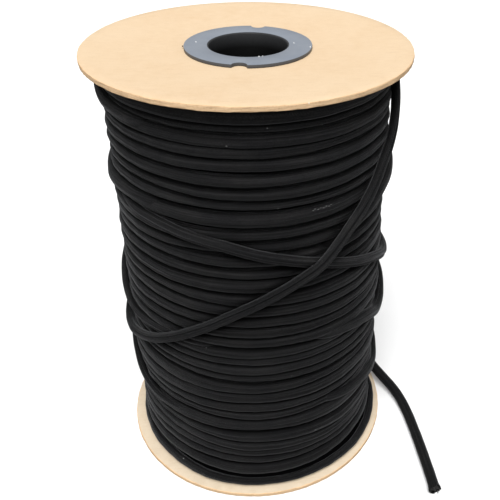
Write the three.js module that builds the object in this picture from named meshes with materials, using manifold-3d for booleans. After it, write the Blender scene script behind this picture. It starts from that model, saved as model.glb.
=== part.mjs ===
// A reel of braided shock cord, standing on end: two pressboard flanges, a plastic hub in each, the
// barrel between them, the wound cord, and its loose end lying on the floor.
// Millimetres, +Z up. The origin is on the floor, under the middle of the bore. Angles are in degrees
// around Z: 0 at the front (-Y), growing to the right (+X), 180 at the back.
import * as THREE from 'three';
import { mergeVertices } from 'three/addons/utils/BufferGeometryUtils.js';
import Module from 'manifold-3d';

// Reel: an 8 inch flange with a 2 inch bore
const GAP = 0.3;
const REEL_H = 302.4;
const FLANGE_R = 101.6;
const FLANGE_T = 3.2;
const FLANGE_EDGE = 0.4;
const DISH = 2.2;
const RIM_INNER_R = 95;
const SEAT_R = 42;
const HUB_R = 39.4;
const HUB_RING_T = DISH - GAP;
const BORE_R = 24.2;
const BORE_LIP = 1.0;
const SLEEVE_R = 26.4;
const SLEEVE_L = 22;
const NOTCH_R = 4.6;
const NOTCH_CENTRE_R = 39.8;
const NOTCH_ANGLES = [-8, 170];
const BARREL_INNER_R = SLEEVE_R + GAP;
const BARREL_R = 30;

// Cord: 8 mm, drawn thinner where it crosses over the other turns under tension
const CORD_D = 8;
const CROSSING_D = 6.6;
const STRAND_SIDES = 6;
const STRAND_STEP = 18;
const LOOSE_SIDES = 10;
const LOOSE_STEP = 7;

// Winding
const WINDING_COLUMNS = 36;
const SLIVER = 0.05;
const WINDING_INNER_R = BARREL_R + GAP;
const GROOVE_DEPTH = 2.6;
const PROUD_PER_MM = 0.22;
const PROUD_MOST = 0.8;

// Round shapes
const FLANGE_SIDES = 60;
const HUB_SIDES = 48;
const NOTCH_SIDES = 24;
const BARREL_SIDES = 36;

// The grooves between the outermost turns, from the top down. Each row is one groove's height at the
// left, at the front and at the right.
const GROOVE_STOPS = [-180, -50, 0, 50, 180];
const GROOVES = [
  [287.0, 287.4, 289.6],
  [284.0, 283.4, 284.6],
  [275.1, 274.9, 276.3],
  [267.8, 267.8, 270.0],
  [259.3, 259.4, 261.2],
  [250.5, 250.2, 252.4],
  [244.0, 241.7, 244.0],
  [236.6, 235.7, 237.0],
  [225.2, 223.7, 225.8],
  [214.4, 215.4, 217.0],
  [205.8, 207.0, 208.0],
  [198.3, 196.7, 198.5],
  [189.2, 188.7, 190.4],
  [179.0, 178.2, 178.6],
  [171.4, 168.8, 167.7],
  [162.0, 160.2, 159.3],
  [153.1, 151.9, 150.6],
  [143.9, 143.4, 142.8],
  [135.3, 134.9, 132.4],
  [127.2, 126.5, 126.0],
  [121.0, 120.0, 119.8],
  [113.2, 112.0, 112.0],
  [107.8, 104.7, 104.3],
  [96.1, 95.8, 97.2],
  [85.4, 86.7, 85.3],
  [78.2, 78.2, 78.2],
  [71.3, 70.2, 71.2],
  [58.4, 59.0, 54.9],
  [51.8, 48.4, 43.2],
  [44.0, 39.5, 36.4],
  [35.8, 33.2, 30.4],
  [27.5, 25.7, 24.7],
  [16.0, 11.7, 12.4],
];

// How far the winding's crests stand from the axis. Each row is a height, then the radius at the left,
// at the front, at the right and at the back.
const FORM_STOPS = [-180, -80, 0, 80, 180];
const FORM = [
  [0, 91.6, 93.2, 94.2, 91.6],
  [14, 91.6, 92.8, 91.8, 91.4],
  [60, 91.8, 92.4, 91.6, 91.4],
  [110, 91.6, 92.0, 92.0, 91.2],
  [160, 91.2, 91.4, 91.0, 91.0],
  [200, 91.0, 90.8, 89.8, 90.8],
  [265, 91.0, 90.5, 89.7, 90.6],
  [302, 91.6, 90.8, 90.2, 90.8],
];

// Stretches of cord that stand proud of the even turns. Each row of a route is an angle, a height and
// the distance of the cord's middle from the axis. A stretch rises out of the turns and sinks into them.
const STRANDS = [
  {
    // down across the front from left to right, round the back and down the left side
    width: CORD_D,
    route: [
      [-64, 221.5, 87.5],
      [-48, 220.4, 90.0],
      [-32, 219.3, 91.0],
      [-17, 215.6, 91.7],
      [-3, 209.6, 92.0],
      [14, 202.3, 92.6],
      [33, 192.0, 93.1],
      [54, 177.3, 93.4],
      [76, 163.5, 93.0],
      [98, 156.0, 92.4],
      [130, 153.0, 91.8],
      [170, 158.0, 91.5],
      [210, 168.5, 91.6],
      [240, 175.0, 92.2],
      [260, 172.0, 92.9],
      [271, 161.0, 93.4],
      [279, 145.0, 93.6],
      [287, 134.0, 93.0],
      [300, 131.6, 92.0],
      [318, 133.8, 90.6],
      [338, 132.4, 88.0],
    ],
  },
  {
    // from under the top flange at the right, over everything at the front, round the left to the back
    width: CROSSING_D,
    route: [
      [114, 294.4, 89.0],
      [98, 294.0, 91.0],
      [87, 290.8, 92.8],
      [78, 283.2, 93.8],
      [70, 272.0, 93.9],
      [62, 255.0, 93.7],
      [51, 236.0, 94.0],
      [39, 222.5, 95.8],
      [27, 208.6, 97.4],
      [18, 196.0, 97.0],
      [4, 181.6, 95.4],
      [-14, 159.6, 95.0],
      [-33, 139.0, 95.5],
      [-51, 120.8, 95.0],
      [-68, 112.2, 95.0],
      [-86, 109.6, 94.6],
      [-110, 115.2, 93.4],
      [-145, 123.0, 92.4],
      [-185, 126.5, 91.6],
      [-220, 126.5, 90.6],
      [-250, 123.5, 88.0],
    ],
  },
  {
    // from under the second stretch, down round the right side and the back to the left
    width: CORD_D,
    route: [
      [32, 202.0, 88.0],
      [44, 211.5, 90.4],
      [58, 218.4, 91.2],
      [76, 225.0, 91.0],
      [104, 234.0, 90.6],
      [150, 239.0, 90.3],
      [215, 240.4, 90.4],
      [262, 240.0, 91.0],
      [282, 235.4, 90.5],
      [318, 231.0, 87.6],
    ],
  },
  {
    // left side, low
    width: CORD_D,
    route: [
      [-128, 115.5, 88.0],
      [-104, 110.5, 91.4],
      [-88, 97.0, 92.1],
      [-76, 81.0, 92.0],
      [-64, 70.5, 91.4],
      [-50, 65.0, 90.2],
      [-34, 64.6, 88.0],
    ],
  },
  {
    // right side, middle
    width: CORD_D,
    route: [
      [38, 126.6, 88.2],
      [52, 124.2, 90.9],
      [67, 118.6, 92.6],
      [79, 124.5, 93.2],
      [92, 138.0, 92.6],
      [112, 145.0, 91.0],
      [145, 146.4, 88.0],
    ],
  },
  {
    // right side, low
    width: CORD_D,
    route: [
      [40, 45.6, 88.3],
      [56, 45.0, 90.5],
      [70, 45.4, 91.5],
      [80, 53.0, 91.7],
      [94, 66.0, 91.3],
      [130, 73.0, 88.0],
    ],
  },
  {
    // left side, out from under the top flange
    width: CORD_D,
    route: [
      [-124, 294.2, 88.0],
      [-100, 292.0, 90.1],
      [-82, 285.6, 90.6],
      [-64, 281.0, 90.0],
      [-44, 279.2, 88.0],
    ],
  },
];

// The last turn comes round the back, lifts off the winding and goes on as the loose end
const LAST_TURN = [
  [176, 26.0, 88.0],
  [160, 25.0, 91.6],
  [145, 23.6, 94.6],
  [132, 22.2, 95.8],
  [120, 20.4, 96.2],
];
const LIFT_OFF_RUN = 14;

// The loose end's middle, x, y and z, from where it has left the winding to its cut end
const LOOSE_ROUTE = [
  [90.1, 35.9, 18.0],
  [93.2, 30.5, 17.0],
  [96.3, 25.1, 15.8],
  [99.4, 19.8, 14.4],
  [102.4, 14.8, 12.9],
  [105.5, 10.0, 11.4],
  [108.7, 5.2, 10.0],
  [112.0, 0.3, 8.6],
  [115.2, -5.0, 7.2],
  [118.0, -11.2, 6.0],
  [120.2, -18.4, 5.1],
  [122.0, -26.8, 4.5],
  [123.4, -36.2, 4.2],
  [124.5, -47.6, 4.1],
  [125.5, -59.6, 4.1],
  [126.3, -71.6, 4.1],
  [127.0, -83.6, 4.1],
  [127.6, -95.6, 4.1],
  [127.9, -106.6, 4.1],
];

const wasm = await Module();
wasm.setup();

function onReel(angle, height, radius) {
  const turn = THREE.MathUtils.degToRad(angle);
  return new THREE.Vector3(radius * Math.sin(turn), -radius * Math.cos(turn), height);
}

// Smoothly from one value to the next, where at lies between the stops
function between(stops, values, at) {
  let last = stops.length - 2;
  while (last > 0 && at < stops[last]) last -= 1;
  const share = (at - stops[last]) / (stops[last + 1] - stops[last]);
  return THREE.MathUtils.lerp(values[last], values[last + 1], THREE.MathUtils.smoothstep(share, 0, 1));
}

// The height of a flange's inner face over the floor, on the top flange
function topFlangeFace(radius) {
  const share = THREE.MathUtils.clamp((RIM_INNER_R - radius) / (RIM_INNER_R - SEAT_R), 0, 1);
  return REEL_H - FLANGE_T - DISH * share;
}

function windingTop(radius) {
  return topFlangeFace(radius) - GAP;
}

function windingBottom(radius) {
  return REEL_H - windingTop(radius);
}

function formRadius(angle, height) {
  const heights = FORM.map((row) => row[0]);
  const radii = FORM.map(([, left, front, right, back]) =>
    between(FORM_STOPS, [back, left, front, right, back], angle));
  let low = heights.length - 2;
  while (low > 0 && height < heights[low]) low -= 1;
  const share = (height - heights[low]) / (heights[low + 1] - heights[low]);
  return THREE.MathUtils.lerp(radii[low], radii[low + 1], share);
}

// One upright section of the winding, from its inner bottom corner outward and up
function windingSection(angle) {
  const turns = GROOVES.length + 1;
  const edgeRadius = (height) => formRadius(angle, height) - GROOVE_DEPTH;
  const top = windingTop(edgeRadius(REEL_H));
  const bottom = windingBottom(edgeRadius(0));
  const grooves = GROOVES.map(([left, front, right], row) => {
    const back = THREE.MathUtils.lerp(top, bottom, (row + 1) / turns);
    return between(GROOVE_STOPS, [back, left, front, right, back], angle);
  });
  const edges = [top, ...grooves, bottom].reverse();
  const section = [
    [WINDING_INNER_R, windingBottom(SEAT_R)],
    [SEAT_R, windingBottom(SEAT_R)],
  ];
  edges.forEach((edge, index) => {
    section.push([edgeRadius(edge), edge]);
    if (index === turns) return;
    const width = edges[index + 1] - edge;
    const middle = edge + width / 2;
    const proud = THREE.MathUtils.clamp((width - CORD_D) * PROUD_PER_MM, -PROUD_MOST, PROUD_MOST);
    section.push([formRadius(angle, middle) + proud, middle]);
  });
  section.push([SEAT_R, windingTop(SEAT_R)]);
  section.push([WINDING_INNER_R, windingTop(SEAT_R)]);
  return section;
}

// The even turns, one ridge each, as a closed ring of upright sections
function evenTurns() {
  const positions = [];
  const indices = [];
  const rows = windingSection(0).length;
  for (let column = 0; column < WINDING_COLUMNS; column += 1) {
    const angle = (column / WINDING_COLUMNS) * 360 - 180;
    windingSection(angle).forEach(([radius, height]) => {
      positions.push(...onReel(angle, height, radius).toArray());
    });
    const here = column * rows;
    const next = ((column + 1) % WINDING_COLUMNS) * rows;
    for (let row = 0; row < rows; row += 1) {
      const above = (row + 1) % rows;
      indices.push(here + row, next + row, next + above);
      indices.push(here + row, next + above, here + above);
    }
  }
  const geometry = new THREE.BufferGeometry();
  geometry.setAttribute('position', new THREE.Float32BufferAttribute(positions, 3));
  geometry.setIndex(indices);
  return geometry;
}

function polygon(sides, radius) {
  const corners = [];
  for (let side = 0; side < sides; side += 1) {
    const turn = ((side + 0.5) / sides) * 2 * Math.PI;
    corners.push(new THREE.Vector2(radius * Math.cos(turn), radius * Math.sin(turn)));
  }
  return new THREE.Shape(corners);
}

function cordAlong(points, width, sides, step) {
  const path = new THREE.CatmullRomCurve3(points);
  const steps = Math.ceil(path.getLength() / step);
  const options = { steps, bevelEnabled: false, extrudePath: path };
  return new THREE.ExtrudeGeometry(polygon(sides, width / 2), options);
}

function toSolid(geometry) {
  const bare = geometry.clone();
  bare.deleteAttribute('normal');
  bare.deleteAttribute('uv');
  const merged = mergeVertices(bare);
  const vertProperties = new Float32Array(merged.attributes.position.array);
  const triVerts = new Uint32Array(merged.index.array);
  return new wasm.Manifold(new wasm.Mesh({ numProp: 3, vertProperties, triVerts }));
}

function toGeometry(solid) {
  const mesh = solid.getMesh();
  const geometry = new THREE.BufferGeometry();
  geometry.setAttribute('position', new THREE.BufferAttribute(mesh.vertProperties, mesh.numProp));
  geometry.setIndex(new THREE.BufferAttribute(mesh.triVerts, 1));
  geometry.computeVertexNormals();
  return geometry;
}

// A ring from its section's corners [radius, height], going round the section once
function ring(section, sides) {
  const corners = section.map(([radius, height]) => new THREE.Vector2(radius, height));
  corners.push(corners[0].clone());
  return new THREE.LatheGeometry(corners, sides).rotateX(Math.PI / 2);
}

// The flange's and the hub's outer faces are at height 0, and the reel is below them
function flangeGeometry() {
  return ring([
    [BARREL_INNER_R, -DISH],
    [BARREL_INNER_R, -DISH - FLANGE_T],
    [SEAT_R, -DISH - FLANGE_T],
    [RIM_INNER_R, -FLANGE_T],
    [FLANGE_R - FLANGE_EDGE, -FLANGE_T],
    [FLANGE_R, -FLANGE_T + FLANGE_EDGE],
    [FLANGE_R, -FLANGE_EDGE],
    [FLANGE_R - FLANGE_EDGE, 0],
    [RIM_INNER_R, 0],
    [SEAT_R, -DISH],
  ], FLANGE_SIDES);
}

function hubGeometry() {
  let hub = toSolid(ring([
    [BORE_R, -SLEEVE_L],
    [SLEEVE_R, -SLEEVE_L],
    [SLEEVE_R, -HUB_RING_T],
    [HUB_R, -HUB_RING_T],
    [HUB_R, 0],
    [BORE_R + BORE_LIP, 0],
    [BORE_R + BORE_LIP * (1 - Math.SQRT1_2), -BORE_LIP * (1 - Math.SQRT1_2)],
    [BORE_R, -BORE_LIP],
  ], HUB_SIDES));
  NOTCH_ANGLES.forEach((angle) => {
    const notch = new THREE.CylinderGeometry(NOTCH_R, NOTCH_R, 2 * DISH, NOTCH_SIDES);
    notch.rotateX(Math.PI / 2);
    notch.translate(...onReel(angle, 0, NOTCH_CENTRE_R).toArray());
    hub = hub.subtract(toSolid(notch));
  });
  return toGeometry(hub);
}

function barrelGeometry() {
  const low = windingBottom(SEAT_R);
  const high = windingTop(SEAT_R);
  return ring([
    [BARREL_INNER_R, low],
    [BARREL_R, low],
    [BARREL_R, high],
    [BARREL_INNER_R, high],
  ], BARREL_SIDES);
}

// The pockets that a stretch of cord closes off over the grooves are filled
function withoutPockets(solid) {
  return solid.decompose().reduce((most, shell) => (shell.volume() > most.volume() ? shell : most));
}

function routePoints(route) {
  return route.map(([angle, height, radius]) => onReel(angle, height, radius));
}

// Straight off the winding where the last turn leaves it, as far as the loose end's face
function lastTurnPoints() {
  const points = routePoints(LAST_TURN);
  const face = new THREE.Vector3(...LOOSE_ROUTE[0]);
  const ahead = new THREE.Vector3(...LOOSE_ROUTE[1]).sub(face).normalize();
  [-LIFT_OFF_RUN / 2, -GAP].forEach((distance) => {
    points.push(face.clone().addScaledVector(ahead, distance));
  });
  return points;
}

function windingGeometry() {
  let winding = toSolid(evenTurns());
  STRANDS.forEach(({ width, route }) => {
    const strand = cordAlong(routePoints(route), width, STRAND_SIDES, STRAND_STEP);
    winding = winding.add(toSolid(strand));
  });
  const last = cordAlong(lastTurnPoints(), CORD_D, STRAND_SIDES, STRAND_STEP);
  return toGeometry(withoutPockets(winding.add(toSolid(last))).simplify(SLIVER));
}

function looseEndGeometry() {
  const points = LOOSE_ROUTE.map((point) => new THREE.Vector3(...point));
  return cordAlong(points, CORD_D, LOOSE_SIDES, LOOSE_STEP);
}

const PRESSBOARD = { color: 0xe9cfa4, roughness: 0.85, metalness: 0 };
const PLASTIC = { color: 0x9aa3aa, roughness: 0.5, metalness: 0 };
const KRAFT = { color: 0x6f5a42, roughness: 0.9, metalness: 0 };
const BLACK_BRAID = { color: 0x17181a, roughness: 0.8, metalness: 0 };

const reel = new THREE.Group();

function add(name, geometry, look) {
  const mesh = new THREE.Mesh(geometry, new THREE.MeshStandardMaterial(look));
  mesh.name = name;
  reel.add(mesh);
  return mesh;
}

add('top_flange', flangeGeometry(), PRESSBOARD).position.z = REEL_H;
add('bottom_flange', flangeGeometry(), PRESSBOARD).rotation.x = Math.PI;
add('top_hub', hubGeometry(), PLASTIC).position.z = REEL_H;
add('bottom_hub', hubGeometry(), PLASTIC).rotation.x = Math.PI;
add('barrel', barrelGeometry(), KRAFT);
add('winding', windingGeometry(), BLACK_BRAID);
add('loose_end', looseEndGeometry(), BLACK_BRAID);

export default reel;
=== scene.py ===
# A reel of braided shock cord standing on end, with its loose end on the floor.
# Metres, +Z up. Angles are in degrees around Z: 0 at the front (-Y), growing to the right (+X).
import math

import bpy
import numpy as np
from mathutils import Matrix, Vector
from mathutils.bvhtree import BVHTree


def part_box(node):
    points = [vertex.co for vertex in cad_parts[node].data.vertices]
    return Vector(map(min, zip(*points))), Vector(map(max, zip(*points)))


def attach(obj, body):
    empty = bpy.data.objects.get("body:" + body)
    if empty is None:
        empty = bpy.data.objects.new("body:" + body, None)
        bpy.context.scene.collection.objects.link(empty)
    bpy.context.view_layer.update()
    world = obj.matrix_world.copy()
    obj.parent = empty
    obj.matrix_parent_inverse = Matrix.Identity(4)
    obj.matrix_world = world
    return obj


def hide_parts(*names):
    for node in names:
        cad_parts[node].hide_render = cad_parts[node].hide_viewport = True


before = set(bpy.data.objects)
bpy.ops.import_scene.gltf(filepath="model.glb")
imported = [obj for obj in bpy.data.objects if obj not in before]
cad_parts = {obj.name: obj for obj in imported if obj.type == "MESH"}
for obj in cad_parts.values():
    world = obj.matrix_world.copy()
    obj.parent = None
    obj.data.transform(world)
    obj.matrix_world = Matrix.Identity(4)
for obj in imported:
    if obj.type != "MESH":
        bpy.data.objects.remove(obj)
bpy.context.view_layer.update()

REEL_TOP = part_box("top_flange")[1].z
FLANGE_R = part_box("top_flange")[1].x
SEED = 20

# Camera, for a picture of 500 by 500
PICTURE = 500
SENSOR = 0.036
FOCAL_PIXELS = 689.8
CENTRE_PIXEL_X = 301.8
CAMERA_PLACE = (0.0, -0.42427, 0.43191)
CAMERA_PITCH = 0.5866
CAMERA_YAW = 0.0827
CAMERA_ROLL = 0.0166

# Light
SKY_STRENGTH = 0.42
GROUND_STRENGTH = 0.26
KEY_STRENGTH = 3.75
KEY_WIDTH = 38
KEY_ELEVATION = 60
KEY_ANGLE = -8
HORIZON_SOFTNESS = 0.15

# Reel
GAP = 0.0003
FLANGE_T = 0.0032
DISH = 0.0022
DISH_MIDDLE_R = 0.0680
DISH_MIDDLE_SHARE = 0.51
RIM_INNER_R = 0.0950
SEAT_R = 0.0420
HUB_R = 0.0394
HUB_RING_T = DISH - GAP
HUB_EDGE = 0.0003
BORE_R = 0.0242
BORE_LIP = 0.0010
LIP_DROP = 0.0002
SLEEVE_R = 0.0264
SLEEVE_L = 0.0220
SLEEVE_SHADE = 0.0095
NOTCH_R = 0.0046
NOTCH_CENTRE_R = 0.0398
NOTCH_ANGLES = (-8, 170)
BARREL_INNER_R = SLEEVE_R + GAP
BARREL_R = 0.0300

# Cord
CORD_D = 0.0080
CROSSING_D = 0.0064
CARRIERS = 16
BRAID_LENGTH = 0.0016
WRINKLES_ALONG = 9.0
WRINKLES_AROUND = 13.0
WRINKLE_HEIGHT = 4.0
SHEEN = 0.16
GROOVE_SHADE_REACH = 0.007

# Winding
TURN_STEPS = 200
GROOVE_RADIUS_DROP = 0.0026
GROOVE_SINK = 0.0011
CORD_DEPTH = 0.0040
LAST_TURN_DEPTH = 0.0029
BURIED_HALF = 0.0035
GROOVE_GAP = 0.0012
CLOSED_UP_TO = 0.3
OPEN_BEHIND = 0.8
ROUND = 2.0
PRESSED_SQUARER = 1.7
MEAN_R = 0.091
RISE_BY_WIDTH = 0.35
RISE_LEAST = -0.0022
RISE_MOST = 0.0006
INNER_SEGMENTS = 96
INNER_DEPTH = 0.0048
INNER_RIDGE = 0.0025
INNER_MOST = 0.0925
INNER_FOOT = 0.0012
STEP_OVER_FROM = 140
STEP_OVER_TO = 180
WOBBLE_HEIGHT = 0.00012
WOBBLE_RADIUS = 0.00022

# The grooves between the outermost turns, from the top down. Each row is one groove's height at the
# left, at the front and at the right, then how open it is there: 1 between round turns, less where they
# are pressed flat against each other, and more where they stand apart.
GROOVE_STOPS = (-180, -50, 0, 50, 180)
GROOVES = (
    (0.2870, 0.2874, 0.2878, 1.0, 0.7, 0.8),
    (0.2840, 0.2834, 0.2828, 1.0, 1.2, 1.2),
    (0.2751, 0.2749, 0.2745, 0.5, 0.2, 0.4),
    (0.2678, 0.2678, 0.2682, 0.8, 0.6, 1.2),
    (0.2593, 0.2594, 0.2594, 0.9, 1.0, 0.9),
    (0.2505, 0.2502, 0.2506, 1.0, 1.0, 0.9),
    (0.2440, 0.2417, 0.2422, 0.9, 0.9, 0.9),
    (0.2356, 0.2357, 0.2352, 1.1, 1.2, 0.9),
    (0.2238, 0.2237, 0.2244, 1.3, 1.1, 1.0),
    (0.2134, 0.2154, 0.2156, 0.5, 1.1, 0.9),
    (0.2058, 0.2070, 0.2066, 0.5, 1.1, 0.9),
    (0.1983, 0.1967, 0.1971, 0.8, 1.2, 1.0),
    (0.1892, 0.1887, 0.1896, 0.9, 0.7, 0.8),
    (0.1790, 0.1782, 0.1778, 0.9, 0.9, 0.9),
    (0.1714, 0.1688, 0.1669, 0.8, 0.5, 0.5),
    (0.1620, 0.1602, 0.1585, 0.9, 0.7, 0.6),
    (0.1531, 0.1519, 0.1498, 0.8, 0.6, 0.6),
    (0.1439, 0.1434, 0.1420, 0.8, 0.6, 0.6),
    (0.1353, 0.1349, 0.1324, 0.9, 0.9, 0.7),
    (0.1272, 0.1265, 0.1260, 0.8, 0.3, 0.3),
    (0.1210, 0.1200, 0.1198, 0.7, 0.5, 0.5),
    (0.1132, 0.1120, 0.1120, 0.8, 0.4, 0.5),
    (0.1078, 0.1047, 0.1043, 1.3, 1.3, 1.0),
    (0.0961, 0.0958, 0.0972, 0.4, 0.3, 0.6),
    (0.0854, 0.0867, 0.0853, 0.6, 0.5, 0.7),
    (0.0782, 0.0782, 0.0782, 0.6, 0.4, 0.6),
    (0.0719, 0.0702, 0.0712, 0.9, 0.5, 0.7),
    (0.0596, 0.0590, 0.0549, 0.5, 1.1, 1.1),
    (0.0533, 0.0484, 0.0432, 0.4, 0.4, 0.5),
    (0.0455, 0.0395, 0.0364, 0.4, 0.2, 0.4),
    (0.0373, 0.0332, 0.0316, 0.5, 0.4, 0.6),
    (0.0287, 0.0257, 0.0262, 0.8, 0.8, 0.9),
    (0.0168, 0.0117, 0.0134, 1.5, 1.6, 2.1),
)

# Fine creases along the turns' faces. Each row is a crease's height at the left, front and right.
CREASES = (
    (0.2717, 0.2707, 0.2722),
    (0.1822, 0.1820, 0.1824),
    (0.0950, 0.0915, 0.0900),
    (0.0640, 0.0627, 0.0620),
    (0.0548, 0.0530, 0.0500),
    (0.0745, 0.0744, 0.0747),
    (0.1015, 0.1002, 0.1006),
    (0.0475, 0.0440, 0.0402),
    (0.1468, 0.1476, 0.1470),
)
CREASE_DEPTH = 0.00060
CREASE_HALF_WIDTH = 0.0005

# How far the winding's crests stand from the axis. Each row is a height, then the radius at the left,
# at the front, at the right and at the back.
FORM_STOPS = (-180, -80, 0, 80, 180)
FORM = (
    (0.000, 0.0940, 0.0965, 0.0975, 0.0925),
    (0.008, 0.0940, 0.0965, 0.0975, 0.0925),
    (0.014, 0.0916, 0.0928, 0.0918, 0.0914),
    (0.060, 0.0918, 0.0924, 0.0916, 0.0914),
    (0.110, 0.0916, 0.0920, 0.0920, 0.0912),
    (0.160, 0.0912, 0.0914, 0.0910, 0.0910),
    (0.200, 0.0910, 0.0908, 0.0898, 0.0908),
    (0.265, 0.0910, 0.0905, 0.0897, 0.0906),
    (0.302, 0.0916, 0.0908, 0.0902, 0.0908),
)

# Stretches of cord that stand proud of the even turns: a name, the cord's width there, and a route of
# rows that are an angle, a height and the distance of the cord's middle from the axis. After the width
# come the depth of the fold along its outer face and where the fold lies, in degrees round its section.
CROSSINGS = (
    ("crossing_down_the_front", CROSSING_D, 0.0015, 22, (
        (-64, 0.2220, 0.0872), (-50, 0.2210, 0.0904), (-36, 0.2199, 0.0914), (-25, 0.2174, 0.0920),
        (-11, 0.2135, 0.0924), (1, 0.2078, 0.0928), (11, 0.2030, 0.0929), (24, 0.1962, 0.0930),
        (41, 0.1860, 0.0934), (56, 0.1768, 0.0936), (76, 0.1625, 0.0934), (98, 0.1555, 0.0924),
        (130, 0.1530, 0.0918), (170, 0.1550, 0.0912), (210, 0.1600, 0.0912), (240, 0.1610, 0.0914),
        (256, 0.1580, 0.0918), (269, 0.1500, 0.0926), (279, 0.1415, 0.0932), (288, 0.1340, 0.0930),
        (300, 0.1316, 0.0920), (318, 0.1338, 0.0906), (338, 0.1324, 0.0880),
    )),
    ("crossing_over_everything", CROSSING_D, 0.0026, 14, (
        (114, 0.2944, 0.0865), (98, 0.2940, 0.0890), (88, 0.2900, 0.0909), (80, 0.2810, 0.0923),
        (74, 0.2665, 0.0935), (66, 0.2556, 0.0940), (59, 0.2454, 0.0938), (52, 0.2336, 0.0940),
        (44, 0.2240, 0.0950), (37, 0.2158, 0.0960), (31, 0.2075, 0.0970), (24, 0.1970, 0.0974),
        (15, 0.1876, 0.0962), (4, 0.1768, 0.0952), (-8, 0.1654, 0.0950), (-21, 0.1512, 0.0950),
        (-36, 0.1356, 0.0954), (-50, 0.1230, 0.0952), (-67, 0.1128, 0.0950), (-86, 0.1096, 0.0946),
        (-110, 0.1152, 0.0934), (-145, 0.1230, 0.0924), (-185, 0.1265, 0.0916), (-220, 0.1265, 0.0906),
        (-250, 0.1235, 0.0880),
    )),
    ("crossing_under_at_the_right", CORD_D, 0.0, 0, (
        (32, 0.2040, 0.0880), (44, 0.2140, 0.0904), (58, 0.2225, 0.0912), (76, 0.2285, 0.0910),
        (104, 0.2345, 0.0906), (150, 0.2370, 0.0903), (215, 0.2350, 0.0902), (258, 0.2310, 0.0900),
        (282, 0.2285, 0.0902), (298, 0.2295, 0.0896), (318, 0.2305, 0.0876),
    )),
    ("crossing_low_at_the_left", CORD_D, 0.0, 0, (
        (-128, 0.1155, 0.0875), (-104, 0.1090, 0.0902), (-88, 0.0960, 0.0908), (-76, 0.0810, 0.0914),
        (-64, 0.0705, 0.0914), (-50, 0.0650, 0.0902), (-34, 0.0646, 0.0880),
    )),
    ("crossing_middle_at_the_right", CORD_D, 0.0, 0, (
        (30, 0.1335, 0.0880), (40, 0.1322, 0.0903), (48, 0.1304, 0.0914), (57, 0.1265, 0.0922),
        (67, 0.1205, 0.0928), (79, 0.1215, 0.0932), (92, 0.1300, 0.0924), (112, 0.1370, 0.0908),
        (145, 0.1384, 0.0880),
    )),
    ("crossing_low_at_the_right", CORD_D, 0.0, 0, (
        (32, 0.0733, 0.0880), (42, 0.0710, 0.0904), (54, 0.0681, 0.0914), (65, 0.0635, 0.0918),
        (76, 0.0595, 0.0920), (84, 0.0605, 0.0920), (96, 0.0670, 0.0912), (130, 0.0740, 0.0880),
    )),
    ("crossing_top_left", CORD_D, 0.0, 0, (
        (-124, 0.2942, 0.0880), (-100, 0.2920, 0.0901), (-82, 0.2856, 0.0906), (-64, 0.2810, 0.0900),
        (-44, 0.2792, 0.0880),
    )),
)
SINK_ANGLE = 7
SINK_RADIUS = 0.0050
FOLD_HALF_WIDTH = 22
CROSSING_STEP = 0.0015
CROSSING_SIDES = 40
CROSSING_SQUARENESS = 2.2

# The last turn comes round the back, lifts off the winding and goes on as the loose end
LAST_TURN = (
    (176, 0.0260, 0.0880), (160, 0.0250, 0.0916), (145, 0.0236, 0.0946), (132, 0.0222, 0.0958),
    (120, 0.0204, 0.0962),
)
LIFT_OFF_RUN = 0.0140
TUCK_IN = 0.0030
LAST_TURN_STEP = 0.0012
LAST_TURN_SIDES = 24
LAST_TURN_SLACK = 0.00004

# The loose end's middle, from where it has left the winding to its cut end
LOOSE_ROUTE = (
    (0.0901, 0.0359, 0.0180), (0.0932, 0.0305, 0.0170), (0.0963, 0.0251, 0.0158),
    (0.0994, 0.0198, 0.0144), (0.1024, 0.0148, 0.0129), (0.1055, 0.0100, 0.0114),
    (0.1087, 0.0052, 0.0100), (0.1120, 0.0003, 0.0086), (0.1152, -0.0050, 0.0072),
    (0.1180, -0.0112, 0.0060), (0.1202, -0.0184, 0.0051), (0.1220, -0.0268, 0.0045),
    (0.1234, -0.0362, 0.0042), (0.1245, -0.0476, 0.0041), (0.1255, -0.0596, 0.0041),
    (0.1263, -0.0716, 0.0041), (0.1270, -0.0836, 0.0041), (0.1276, -0.0956, 0.0041),
    (0.1279, -0.1066, 0.0041),
)

rng = np.random.default_rng(SEED)


# Helpers for shapes

def smooth(share):
    """From 0 to 1 with a soft start and a soft end."""
    share = np.clip(share, 0, 1)
    return share * share * (3 - 2 * share)


def between(stops, values, at):
    """Smoothly from one value to the next, where each of at lies between the stops."""
    stops = np.asarray(stops, float)
    values = np.asarray(values, float)
    last = np.clip(np.searchsorted(stops, at, side="right") - 1, 0, len(stops) - 2)
    share = smooth((at - stops[last]) / (stops[last + 1] - stops[last]))
    return values[last] * (1 - share) + values[last + 1] * share


def on_reel(angle, height, radius):
    """Points from their ways round the reel, heights and distances from its axis."""
    turn = np.radians(angle)
    return np.stack(np.broadcast_arrays(radius * np.sin(turn), -radius * np.cos(turn), height), axis=-1)


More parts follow.
